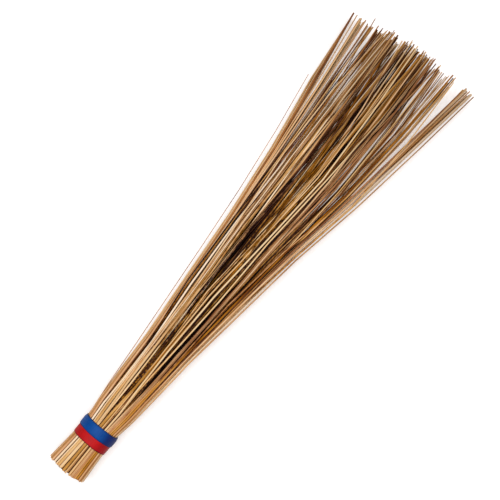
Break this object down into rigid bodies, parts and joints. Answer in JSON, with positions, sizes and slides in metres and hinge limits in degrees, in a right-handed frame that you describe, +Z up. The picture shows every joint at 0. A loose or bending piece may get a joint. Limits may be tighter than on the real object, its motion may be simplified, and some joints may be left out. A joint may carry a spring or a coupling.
{
  "type": "hand broom",
  "caption": "Hand broom of stripped palm-leaf ribs: a long flaring fan of thin stiff sticks, tied and taped at the waist, with a short sawn butt.",
  "frame": {"origin": "middle of the broom's footprint on the floor that it lies on", "axes": "+X along the broom from the sawn butt to the fan's tips, +Y across the fan, +Z up from the floor"},
  "size_m": [0.798, 0.2168, 0.0995],
  "materials": {
    "ekel_straw": "satin, dry pale straw-coloured rib",
    "ekel_tan": "satin, dry tan rib",
    "ekel_brown": "satin, dry brown rib",
    "annealed_wire": "dull annealed steel wire",
    "red_vinyl": "soft-gloss red vinyl tape",
    "blue_vinyl": "soft-gloss blue vinyl tape"
  },
  "bodies": {
    "root": {"ekel_sheaf_core_1": "ekel_straw", "ekel_sheaf_inner_1": "ekel_tan", "ekel_sheaf_inner_2": "ekel_brown", "ekel_sheaf_inner_3": "ekel_straw", "ekel_sheaf_middle_1": "ekel_tan", "ekel_sheaf_middle_2": "ekel_brown", "ekel_sheaf_middle_3": "ekel_straw", "ekel_sheaf_middle_4": "ekel_tan", "ekel_sheaf_middle_5": "ekel_brown", "ekel_sheaf_outer_1": "ekel_straw", "ekel_sheaf_outer_2": "ekel_tan", "ekel_sheaf_outer_3": "ekel_brown", "ekel_sheaf_outer_4": "ekel_straw", "ekel_sheaf_outer_5": "ekel_tan", "ekel_sheaf_outer_6": "ekel_brown", "ekel_sheaf_outer_7": "ekel_straw", "ekel_sheaf_skin_1": "ekel_tan", "ekel_sheaf_skin_2": "ekel_brown", "ekel_sheaf_skin_3": "ekel_straw", "ekel_sheaf_skin_4": "ekel_tan", "ekel_sheaf_skin_5": "ekel_brown", "ekel_sheaf_skin_6": "ekel_straw", "ekel_sheaf_skin_7": "ekel_tan", "ekel_sheaf_skin_8": "ekel_brown", "ekel_sheaf_skin_9": "ekel_straw", "tie_wire": "annealed_wire", "red_tape": "red_vinyl", "blue_tape": "blue_vinyl"}
  },
  "joints": []
}
